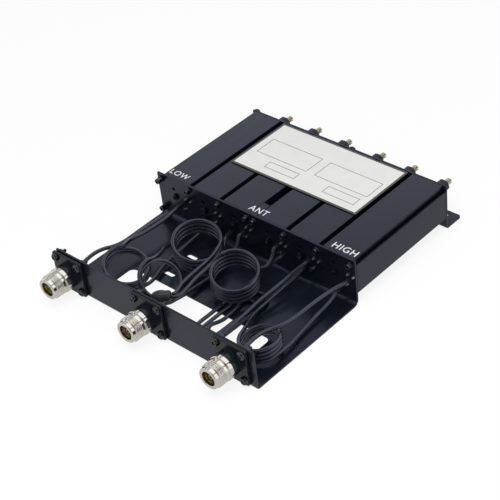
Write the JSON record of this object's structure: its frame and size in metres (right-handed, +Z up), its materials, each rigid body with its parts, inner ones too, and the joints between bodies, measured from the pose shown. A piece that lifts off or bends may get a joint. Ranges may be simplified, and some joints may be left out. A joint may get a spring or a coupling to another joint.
{
  "type": "rf duplexer",
  "caption": "Flat duplexer: a folded tray with coaxial jacks and a looped cable harness, joined to a block of square cavities with tuning rods.",
  "frame": {"origin": "centre of the bounding box in plan, at the underside of the tray's bottom sheet", "axes": "+Z up out of the tray, -Y towards the jacks, +Y towards the tuning rods, +X towards the HIGH jack"},
  "size_m": [0.185, 0.2488, 0.0379],
  "materials": {
    "painted_sheet": "satin charcoal baked paint",
    "nickel_plate": "warm nickel plate",
    "brass": "bare turned brass",
    "cable_jacket": "glossy black cable jacket and sleeve",
    "white_dielectric": "white fluoroplastic",
    "label_stock": "printed label on a thin plate",
    "copper_wire": "bare copper wire"
  },
  "bodies": {
    "chassis": {"chassis_tray": "painted_sheet", "cavity_cradle": "painted_sheet", "rear_plate": "painted_sheet", "label_plate": "label_stock", "cavity_tube_1": "painted_sheet", "cavity_tube_2": "painted_sheet", "cavity_tube_3": "painted_sheet", "cavity_tube_4": "painted_sheet", "cavity_tube_5": "painted_sheet", "cavity_tube_6": "painted_sheet", "lock_nut_1": "painted_sheet", "lock_nut_2": "painted_sheet", "lock_nut_3": "painted_sheet", "lock_nut_4": "painted_sheet", "lock_nut_5": "painted_sheet", "lock_nut_6": "painted_sheet", "resonator_1": "copper_wire", "resonator_2": "copper_wire", "resonator_3": "copper_wire", "resonator_4": "copper_wire", "resonator_5": "copper_wire", "resonator_6": "copper_wire", "jack_flange_low": "painted_sheet", "jack_shell_low": "nickel_plate", "jack_insulator_low": "white_dielectric", "jack_contact_low": "brass", "jack_flange_ant": "painted_sheet", "jack_shell_ant": "nickel_plate", "jack_insulator_ant": "white_dielectric", "jack_contact_ant": "brass", "jack_flange_high": "painted_sheet", "jack_shell_high": "nickel_plate", "jack_insulator_high": "white_dielectric", "jack_contact_high": "brass", "ant_junction_boot": "cable_jacket", "lead_low": "cable_jacket", "line_one_two": "cable_jacket", "line_two_three": "cable_jacket", "line_three_ant": "cable_jacket", "line_ant_four": "cable_jacket", "line_four_five": "cable_jacket", "line_five_six": "cable_jacket", "lead_high": "cable_jacket"},
    "plunger_1": {"plunger_1": "brass"},
    "rod_1": {"tuning_rod_1": "brass"},
    "plunger_2": {"plunger_2": "brass"},
    "rod_2": {"tuning_rod_2": "brass"},
    "plunger_3": {"plunger_3": "brass"},
    "rod_3": {"tuning_rod_3": "brass"},
    "plunger_4": {"plunger_4": "brass"},
    "rod_4": {"tuning_rod_4": "brass"},
    "plunger_5": {"plunger_5": "brass"},
    "rod_5": {"tuning_rod_5": "brass"},
    "plunger_6": {"plunger_6": "brass"},
    "rod_6": {"tuning_rod_6": "brass"}
  },
  "joints": [
    {"name": "plunger_slide_1", "type": "slide", "parent": "chassis", "child": "plunger_1", "axis": [0, 1, 0], "range_m": [-0.006, 0.008]},
    {"name": "rod_turn_1", "type": "hinge", "parent": "plunger_1", "child": "rod_1", "pos_m": [-0.0717, 0.07225, 0.0213], "axis": [0, 1, 0], "range_deg": [-3100, 4130]},
    {"name": "plunger_slide_2", "type": "slide", "parent": "chassis", "child": "plunger_2", "axis": [0, 1, 0], "range_m": [-0.006, 0.008]},
    {"name": "rod_turn_2", "type": "hinge", "parent": "plunger_2", "child": "rod_2", "pos_m": [-0.0425, 0.07225, 0.0213], "axis": [0, 1, 0], "range_deg": [-3100, 4130]},
    {"name": "plunger_slide_3", "type": "slide", "parent": "chassis", "child": "plunger_3", "axis": [0, 1, 0], "range_m": [-0.006, 0.008]},
    {"name": "rod_turn_3", "type": "hinge", "parent": "plunger_3", "child": "rod_3", "pos_m": [-0.0133, 0.07225, 0.0213], "axis": [0, 1, 0], "range_deg": [-3100, 4130]},
    {"name": "plunger_slide_4", "type": "slide", "parent": "chassis", "child": "plunger_4", "axis": [0, 1, 0], "range_m": [-0.006, 0.008]},
    {"name": "rod_turn_4", "type": "hinge", "parent": "plunger_4", "child": "rod_4", "pos_m": [0.0187, 0.07225, 0.0213], "axis": [0, 1, 0], "range_deg": [-3100, 4130]},
    {"name": "plunger_slide_5", "type": "slide", "parent": "chassis", "child": "plunger_5", "axis": [0, 1, 0], "range_m": [-0.006, 0.008]},
    {"name": "rod_turn_5", "type": "hinge", "parent": "plunger_5", "child": "rod_5", "pos_m": [0.0479, 0.07225, 0.0213], "axis": [0, 1, 0], "range_deg": [-3100, 4130]},
    {"name": "plunger_slide_6", "type": "slide", "parent": "chassis", "child": "plunger_6", "axis": [0, 1, 0], "range_m": [-0.006, 0.008]},
    {"name": "rod_turn_6", "type": "hinge", "parent": "plunger_6", "child": "rod_6", "pos_m": [0.0771, 0.07225, 0.0213], "axis": [0, 1, 0], "range_deg": [-3100, 4130]}
  ],
  "couplings": [
    {"joint": "rod_turn_1", "follows": "plunger_slide_1", "rad_per_m": 8976},
    {"joint": "rod_turn_2", "follows": "plunger_slide_2", "rad_per_m": 8976},
    {"joint": "rod_turn_3", "follows": "plunger_slide_3", "rad_per_m": 8976},
    {"joint": "rod_turn_4", "follows": "plunger_slide_4", "rad_per_m": 8976},
    {"joint": "rod_turn_5", "follows": "plunger_slide_5", "rad_per_m": 8976},
    {"joint": "rod_turn_6", "follows": "plunger_slide_6", "rad_per_m": 8976}
  ]
}
